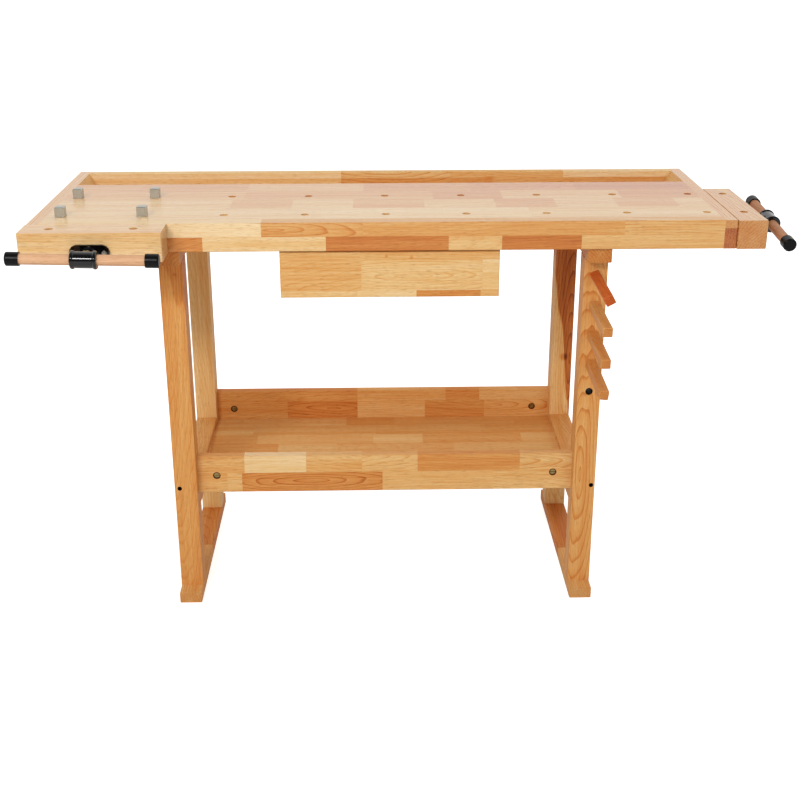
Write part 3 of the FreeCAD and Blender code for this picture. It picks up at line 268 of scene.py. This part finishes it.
# the black discs on the front legs are painted shade: inside the small hole in each leg and inside the
# empty peg hole in the right one
dress(rubberwood("rubberwood_left_front_leg", "zxy", LEG_SPAN, [(-445, [(0, 0.56, 0.35, -470, 1500)])],
                 face=-207, marks=[(257, -434.6, 4.6, 0.3, 1.2), (725, -415, 1, 5, 0.18)],
                 heart=(700, -420, 2.0, 0.16)), "left_front_leg")
dress(rubberwood("rubberwood_right_front_leg", "zxy", LEG_SPAN, [(398, [(0, 0.62, 0.8, 413, 279)])],
                 face=-207, marks=[(255, 437.5, 4.6, 0.3, 1.2), (469, 421.5, 7.5, 0.3, 1.2)]),
      "right_front_leg")
dress(rubberwood("rubberwood_left_back_leg", "zxy", LEG_SPAN, [(-445, [(0, 0.78, 0.3, -500, -600)])],
                 face=170), "left_back_leg")
dress(rubberwood("rubberwood_right_back_leg", "zxy", LEG_SPAN, [(398, [(0, 0.76, 0.6, 440, 408)])],
                 face=170, heart=(530, 410, 8.0, 0.5), marks=[(410, 426, 3, 10, 0.3)]),
      "right_back_leg")
for side, left, joint, inner in (("left", -445, -24, 0.42), ("right", 398, -60, 0.4)):
    dress(rubberwood(f"rubberwood_{side}_runner", "yxz", (-240, 250),
                     [(left, [(-240, 0.66, 0.4), (joint, inner, 0.4)])], face=-30), f"{side}_runner")
    dress(rubberwood(f"rubberwood_{side}_bearer", "yxz", (-242, 242), [(left, [(-242, 0.55, 0.7)])],
                     face=740), f"{side}_bearer")
    dress(rubberwood(f"rubberwood_{side}_mid_rail", "yzx", (-160, 170), [(200, [(-160, 0.65, 0.5)])]),
          f"{side}_mid_rail")

# ------------------------------------------------------------------ stretchers and shelf
# Two rails and a shelf between the end frames, finger-jointed and edge-glued from short staves
# of mixed colour.  The rails are drawn tight by bolts; the shelf is housed in the side rails.
THIN = (0.0, 0.55, 0.1)    # one thin coat of lacquer, which hardly mirrors anything
STRETCHER_SPAN = (-398, 398)
STRETCHER_LOW = 236.6
# the shadow round each barrel nut
NUT_RINGS = [(-358, 275.7, 7.4, 1.2, 0.8), (358, 275.7, 7.4, 1.2, 0.8)]
dress(rubberwood("rubberwood_front_stretcher", "xzy", STRETCHER_SPAN, [
    (STRETCHER_LOW, [(-398, 0.62, 0.2), (-338, 0.68, 0.1), (-308, 0.5, 0.9, 262, -150), (-8, 0.7, 0.2),
             (230, 0.68, 0.3)]),
    (281, [(-398, 0.6, 0.3), (-303, 0.92, 0.05), (-170, 0.7, 0.3),
           (-53, 0.72, 0.5, 330, -300), (64, 0.56, 0.3), (282, 0.68, 0.7, 300, 250)]),
], face=-183.6, marks=NUT_RINGS), "front_stretcher")
dress(rubberwood("rubberwood_back_stretcher", "xzy", STRETCHER_SPAN, [
    (STRETCHER_LOW, [(-398, 0.54, 0.4), (-233, 0.44, 0.8, 275, -120), (-66, 0.72, 0.5), (99, 0.5, 0.4),
             (242, 0.64, 0.7, 280, 260)]),
    (293, [(-398, 0.5, 0.3), (-68, 0.64, 0.2), (147, 0.48, 0.3), (227, 0.66, 0.3)]),
], face=193.4, finish=THIN, marks=NUT_RINGS), "back_stretcher")
dress(rubberwood("rubberwood_shelf", "xyz", (-408, 408), [
    (-161, [(-408, 0.64, 0.3), (-180, 0.6, 0.2), (40, 0.68, 0.2), (220, 0.64, 0.3)]),
    (-100, [(-408, 0.64, 0.3), (-230, 0.7, 0.2), (10, 0.62, 0.3), (190, 0.67, 0.2)]),
    (-20, [(-408, 0.56, 0.3), (-258, 0.68, 0.2), (-118, 0.64, 0.2), (142, 0.66, 0.2),
           (302, 0.68, 0.2)]),
    (40, [(-408, 0.56, 0.3), (-308, 0.66, 0.2), (-168, 0.68, 0.2), (-38, 0.78, 0.1), (82, 0.6, 0.3),
          (312, 0.72, 0.2)]),
    (91, [(-408, 0.68, 0.2), (-318, 0.64, 0.3), (-38, 0.6, 0.2), (217, 0.58, 0.2)]),
    (147, [(-408, 0.64, 0.2), (-108, 0.58, 0.3), (12, 0.63, 0.2), (302, 0.6, 0.2)]),
], face=250, finish=THIN), "shelf")

# ------------------------------------------------------------------ benchtop
# The work surface is laminated from boards 77 to 91 mm wide and framed by a deeper apron, two end
# caps and a rear rail, all glued on.  Its lacquer is rubbed flat, so it mirrors the room softly.
LEVELLED = (0.35, 0.3, 0.5)    # thick lacquer rubbed flat
EDGE = (0.35, 0.35, 0.15)      # the same lacquer brushed over the apron's front
TOP_SPAN = (-660, 660)         # from end cap to end cap
CAP_SPAN = (-250, 250)
EDGE_LOW = 781.6               # the underside of the apron, end caps, rear rail and jaws
FIRST_HOLE = -632              # x of the first column of dog holes
HOLE_LINES = (-181, -16)       # y of their two rows
HOLE_RADIUS = 8.0
dress(rubberwood("rubberwood_top_panel", "xyz", TOP_SPAN, [
    (-218, [(-660, 0.8, 0.1), (-130, 0.84, 0.1), (278, 0.8, 0.1)]),
    (-127, [(-660, 0.76, 0.1), (-317, 0.62, 0.2), (-195, 0.76, 0.1), (-63, 0.62, 0.2),
            (70, 0.74, 0.1), (210, 0.58, 0.2), (350, 0.72, 0.1), (470, 0.6, 0.2), (598, 0.74, 0.1)]),
    (-50, [(-660, 0.7, 0.1), (-305, 0.64, 0.2), (85, 0.54, 0.3), (233, 0.7, 0.1),
           (475, 0.54, 0.2)]),
    (30, [(-660, 0.6, 0.2), (-530, 0.56, 0.2), (-295, 0.7, 0.1), (-55, 0.52, 0.3), (170, 0.48, 0.5),
          (410, 0.36, 0.2)]),
], face=838, finish=LEVELLED, bores=(FIRST_HOLE, HOLE_LINES, HOLE_RADIUS)), "top_panel")
dress(rubberwood("rubberwood_apron", "xzy", TOP_SPAN, [
    (EDGE_LOW, [(-660, 0.42, 0.3), (-360, 0.79, 0.1), (-120, 0.34, 0.2), (120, 0.72, 0.2),
             (225, 0.36, 0.3), (377, 0.72, 0.2)]),
    (810.5, [(-660, 0.92, 0.05), (-245, 0.64, 0.8, 824, -212), (-45, 0.62, 0.25),
             (455, 0.7, 0.7, 796, 520)]),
], face=-250, finish=EDGE), "front_apron")
dress(rubberwood("rubberwood_left_cap", "yzx", CAP_SPAN, [
    (EDGE_LOW, [(-250, 0.6, 0.3)]), (822, [(-250, 0.66, 0.2)]),
], finish=LEVELLED), "left_end_cap")
dress(rubberwood("rubberwood_right_cap", "yzx", CAP_SPAN, [
    (EDGE_LOW, [(-250, 0.3, 0.6)]), (822, [(-250, 0.66, 0.2)]),
], finish=LEVELLED), "right_end_cap")
dress(rubberwood("rubberwood_rear_rail", "xzy", TOP_SPAN, [
    (EDGE_LOW, [(-660, 0.74, 0.1), (-100, 0.58, 0.8, 842, 20), (145, 0.56, 0.3), (230, 0.62, 0.5),
             (405, 0.58, 0.4)]),
    (824, [(-660, 0.92, 0.1), (-100, 0.82, 0.9, 842, 20), (145, 0.74, 0.3), (230, 0.78, 0.5),
           (405, 0.92, 0.3)]),
], face=228, finish=THIN, marks=[(245, 818, 3, 14, 0.15)]), "rear_rail")
# the ramps' pale tone is partly painted light, standing in for the light from above that flatter ramps
# catch
for side in ("left", "right"):
    dress(rubberwood(f"rubberwood_{side}_ramp", "yxz", (109, 228), [(-700, [(109, 0.74, 0.3)])]),
          f"{side}_tray_ramp")
dress(rubberwood("rubberwood_tray_rail", "xzy", TOP_SPAN, [(781, [(-660, 0.6, 0.4)])]),
      "tray_front_rail")
dress(rubberwood("rubberwood_tray_bottom", "xyz", TOP_SPAN, [(104, [(-660, 0.7, 0.3)])]),
      "tray_bottom")

# ------------------------------------------------------------------ drawer
# A broad front board with a narrow strip glued above and below it, on a plain box that runs on
# two strips under the top.
dress(rubberwood("rubberwood_drawer_front", "xzy", (-205, 226), [
    (685, [(-205, 0.76, 0.2), (-54, 0.84, 0.1), (60, 0.42, 0.3), (186, 0.66, 0.2)]),
    (699, [(-205, 0.68, 0.3), (-49, 0.78, 0.5, 728, 60), (190, 0.84, 0.1)]),
    (761, [(-205, 0.72, 0.2), (-49, 0.7, 0.3), (186, 0.7, 0.2)]),
], face=-240, marks=[(4, 769, 0.5, 4, 0.2), (53, 766, 0.5, 5, 0.2)]), "drawer_front")
dress(rubberwood("rubberwood_drawer_box", "yzx", (-221, 80), [(690, [(-221, 0.7, 0.3)])]),
      "drawer_left_side", "drawer_right_side", "left_drawer_rail", "right_drawer_rail")
dress(rubberwood("rubberwood_drawer_back", "xzy", (-190, 210), [(690, [(-190, 0.7, 0.3)])]),
      "drawer_back", "drawer_bottom")

# ------------------------------------------------------------------ fasteners and steel
# Zinc-plated bolts, slotted barrel nuts and wood screws; the vises' screws and rods are turned
# from bright bar, and the dogs are bead-blasted steel.


def steel(name, tints, rough, spread, grain):
    """Steel with a fine uneven finish: grain is the size of its mottling in mm."""
    material, tree = start_material(name)
    coordinates = add(tree, "TexCoord")
    mottle = add(tree, "TexNoise", coordinates.outputs["Object"], Scale=1000.0 / grain, Detail=4.0)
    colour = add(tree, "ValToRGB", mottle)
    fill_ramp(colour, [(value, linear(tint)) for value, tint in zip(NOISE_RANGE, tints)])
    sheen = add(tree, "MapRange", mottle, *NOISE_RANGE, rough - spread, rough + spread)
    bump = add(tree, "Bump", Strength=0.15, Distance=0.0002, Height=mottle)
    shader = add(tree, "BsdfPrincipled", Base_Color=colour, Roughness=sheen, Normal=bump, Metallic=1.0)
    add(tree, "OutputMaterial", shader)
    return material


# zinc plating is a soft grey, passivated yellow on the nuts; turned bar shines, and blasting
# leaves the dogs pale and matt
zinc = steel("zinc_plated_steel", ("#8E8A80", "#B5B2A8"), rough=0.38, spread=0.08, grain=3.0)
brassy = steel("yellow_zinc_steel", ("#8C7A4C", "#B8A46C"), rough=0.4, spread=0.08, grain=3.0)
bright = steel("bright_turned_steel", ("#A9A9A6", "#C6C6C3"), rough=0.25, spread=0.06, grain=2.0)
dog_steel = steel("blasted_dog_steel", ("#B9B8AE", "#D2D1C8"), rough=0.5, spread=0.06, grain=1.5)
dress(zinc, "stretcher_bolts", "wood_screws", "front_vise_plate_bolts", "tail_vise_plate_bolts")
dress(brassy, "barrel_nuts")
dress(bright, "front_vise_screw", "tail_vise_screw", "front_vise_screw_collar",
      "tail_vise_screw_collar", "front_vise_guide_rods", "tail_vise_guide_rods")
dress(dog_steel, "bench_dog_1", "bench_dog_2", "bench_dog_3", "bench_dog_4")

# ------------------------------------------------------------------ vises
# Each vise is a wooden jaw with a cast hub, plate and bracket in baked black enamel, and a turned
# dowel handle whose ends carry moulded black plastic caps.
FRONT_JAW_LINE = -285.4    # y of the front jaw's dog holes
TAIL_JAW_HOLE = 713.9      # x of the tail jaw's dog holes
dress(rubberwood("rubberwood_front_jaw", "xzy", (-685, -417), [
    (EDGE_LOW, [(-685, 0.8, 0.2)]), (822.5, [(-685, 0.74, 0.15)]),
], face=-320, finish=LEVELLED, bores=(FIRST_HOLE, (FRONT_JAW_LINE,), HOLE_RADIUS)), "front_vise_jaw")
dress(rubberwood("rubberwood_tail_jaw", "yzx", (-254, 33), [(EDGE_LOW, [(-254, 0.66, 0.9, 725, -254)])],
                 face=800, finish=LEVELLED, bores=(TAIL_JAW_HOLE, HOLE_LINES, HOLE_RADIUS)),
      "tail_vise_jaw")


def black_skin(name, tints, rough, coat, grain):
    """A black skin over a slightly uneven body: grain is the size of its orange peel in mm."""
    material, tree = start_material(name)
    coordinates = add(tree, "TexCoord")
    peel = add(tree, "TexNoise", coordinates.outputs["Object"], Scale=1000.0 / grain, Detail=3.0)
    colour = add(tree, "ValToRGB", peel)
    fill_ramp(colour, [(value, linear(tint)) for value, tint in zip(NOISE_RANGE, tints)])
    sheen = add(tree, "MapRange", peel, *NOISE_RANGE, rough * 0.8, rough * 1.2)
    bump = add(tree, "Bump", Strength=0.2, Distance=0.0001, Height=peel)
    shader = add(tree, "BsdfPrincipled", Base_Color=colour, Roughness=sheen, Normal=bump, IOR=1.5,
                 Specular_IOR_Level=0.15, Coat_Weight=coat, Coat_Roughness=0.08)
    add(tree, "OutputMaterial", shader)
    return material


# the enamel is a hard, glossy coat over cast iron, and the caps are a duller, plain black
enamel = black_skin("black_baked_enamel", ("#040405", "#08080A"), rough=0.12, coat=0.75, grain=6.0)
plastic = black_skin("black_moulded_plastic", ("#080809", "#101012"), rough=0.32, coat=0.0, grain=1.2)
# the handles are oiled instead of lacquered, which leaves the wood pinker
OILED_TONES = ((0.0, "#2A1812"), (0.3, "#8A553C"), (0.55, "#BC8560"), (0.8, "#DDAE86"), (1.0, "#EEC9A4"))
dowel = rubberwood("turned_rubberwood_dowel", "xyz", (-700, -400), [(-400, [(-700, 0.74, 0.2)])],
                   tones=OILED_TONES)
tail_dowel = rubberwood("turned_rubberwood_tail_dowel", "yxz", (-260, 40), [(700, [(-260, 0.44, 0.2)])],
                        tones=OILED_TONES)
for side in ("front", "tail"):
    dress(enamel, f"{side}_vise_hub", f"{side}_vise_plate", f"{side}_vise_bracket")
    dress(plastic, f"{side}_vise_handle_caps")
dress(dowel, "front_vise_handle")
dress(tail_dowel, "tail_vise_handle")

# ------------------------------------------------------------------ pegs
# Square pegs sawn from offcuts, each of its own colour, with a round tenon at the back end.
RED_TONES = ((0.0, "#24100A"), (0.25, "#84300F"), (0.5, "#C65E26"), (0.75, "#DC8844"), (1.0, "#E7B276"))
PEG_LOOKS = ((0.44, RED_TONES), (0.52, WOOD_TONES), (0.5, WOOD_TONES), (0.48, WOOD_TONES))
for number, (tone, tones) in enumerate(PEG_LOOKS, start=1):
    dress(rubberwood(f"rubberwood_peg_{number}", "yxz", (-380, -180), [(410, [(-380, tone, 0.15)])],
                     tones=tones), f"peg_{number}")

# ------------------------------------------------------------------ floor, lamps and camera
# A pale floor in a bright white room: a small, strong softbox at the front left, which also draws
# the highlights on the black castings, and larger, weaker ones at the front right and behind.
FLOOR_GLOW = 0.75        # what the camera sees the floor brighter by
MIRRORED_GLOW = 0.15     # what mirrors see it brighter by
ROOM_LEVEL = 0.6         # the light that the room gives the bench
FRONT_LEVEL = 0.12       # what mirrors see in front of the bench
BACKDROP_LEVEL = 1.0     # and behind it
BACKDROP_RISE = (-0.2, 0.5)    # the heading's y over which the one turns into the other


def pale_ground():
    """Pale matt floor that the camera sees as white and mirrors see a little lifted.

    It keeps the bench's shadow.
    """
    material, tree = start_material("pale_floor")
    rays = add(tree, "LightPath")
    mirrors = add(tree, "Math", rays.outputs["Is Glossy Ray"], rays.outputs["Is Transmission Ray"],
                  operation="MAXIMUM")
    mirrored = add(tree, "Math", mirrors, MIRRORED_GLOW, operation="MULTIPLY")
    lift = add(tree, "Math", rays.outputs["Is Camera Ray"], FLOOR_GLOW, mirrored,
               operation="MULTIPLY_ADD")
    matt = add(tree, "BsdfDiffuse", linear("#E2E1DF"))
    glow = add(tree, "Emission", (1.0, 1.0, 1.0, 1.0), lift)
    add(tree, "OutputMaterial", add(tree, "AddShader", matt, glow))
    return material


bpy.ops.mesh.primitive_plane_add(size=80.0, location=(0.0, 0.0, 0.0))
floor = bpy.context.object
floor.name = "studio_floor"
floor.data.materials.append(pale_ground())

world = bpy.data.worlds.new("white_room")
bpy.context.scene.world = world
world.use_nodes = True
world.node_tree.nodes.clear()
rays = add(world.node_tree, "LightPath")
heading = add(world.node_tree, "SeparateXYZ", add(world.node_tree, "TexCoord"))
# mirrors see the bright backdrop behind the bench and the dimmer room in front of it
backdrop = add(world.node_tree, "MapRange", heading.outputs["Y"], *BACKDROP_RISE,
               FRONT_LEVEL, BACKDROP_LEVEL)
mirrors = add(world.node_tree, "Math", rays.outputs["Is Glossy Ray"],
              rays.outputs["Is Transmission Ray"], operation="MAXIMUM")
room = add(world.node_tree, "Mix", mirrors, None, ROOM_LEVEL, backdrop)
level = add(world.node_tree, "Mix", rays.outputs["Is Camera Ray"], None, room, 1.0)
air = add(world.node_tree, "Background", (1.0, 1.0, 1.0, 1.0), level)
add(world.node_tree, "OutputWorld", air)


def softbox(name, place, target, width, height, power, mirrored=True):
    """A rectangular lamp at a place, turned to a target, that gloss may or may not mirror.

    Its width and height are in metres and its power in watts.
    """
    lamp = bpy.data.lights.new(name, "AREA")
    lamp.shape = "RECTANGLE"
    lamp.size = width
    lamp.size_y = height
    lamp.energy = power
    holder = bpy.data.objects.new(name, lamp)
    bpy.context.scene.collection.objects.link(holder)
    holder.location = place
    holder.visible_glossy = mirrored
    holder.rotation_euler = (Vector(target) - Vector(place)).to_track_quat("-Z", "Y").to_euler()


softbox("back_softbox", (0.6, 3.2, 2.6), (0.0, 0.0, 0.3), width=2.4, height=1.2, power=30.0,
        mirrored=False)
softbox("key_softbox", (-1.3, -3.2, 2.6), (0.0, 0.0, 0.4), width=1.4, height=0.5, power=63.0)
softbox("fill_softbox", (2.6, -3.0, 2.2), (0.0, 0.0, 0.4), width=2.0, height=1.2, power=14.0)

CAMERA_PLACE = Vector((-0.02506, -2.63128, 1.41804))
CAMERA_YAW = 0.023144      # radians, to the right of straight back
CAMERA_PITCH = -0.378436   # radians above the horizon, so it looks down
CAMERA_ROLL = -0.000899
FOCAL_LENGTH = 56.923      # mm
SENSOR_WIDTH = 36.0        # mm
ahead = Vector((math.sin(CAMERA_YAW) * math.cos(CAMERA_PITCH),
                math.cos(CAMERA_YAW) * math.cos(CAMERA_PITCH), math.sin(CAMERA_PITCH)))
level_right = Vector((math.cos(CAMERA_YAW), -math.sin(CAMERA_YAW), 0.0))
level_up = level_right.cross(ahead)
right = level_right * math.cos(CAMERA_ROLL) + level_up * math.sin(CAMERA_ROLL)
up = level_up * math.cos(CAMERA_ROLL) - level_right * math.sin(CAMERA_ROLL)
lens = bpy.data.cameras.new("camera")
lens.sensor_width = SENSOR_WIDTH
lens.lens = FOCAL_LENGTH
camera = bpy.data.objects.new("camera", lens)
bpy.context.scene.collection.objects.link(camera)
camera.matrix_world = Matrix.Translation(CAMERA_PLACE) @ Matrix((right, up, -ahead)).transposed().to_4x4()
bpy.context.scene.camera = camera
bpy.context.scene.view_settings.view_transform = "Standard"
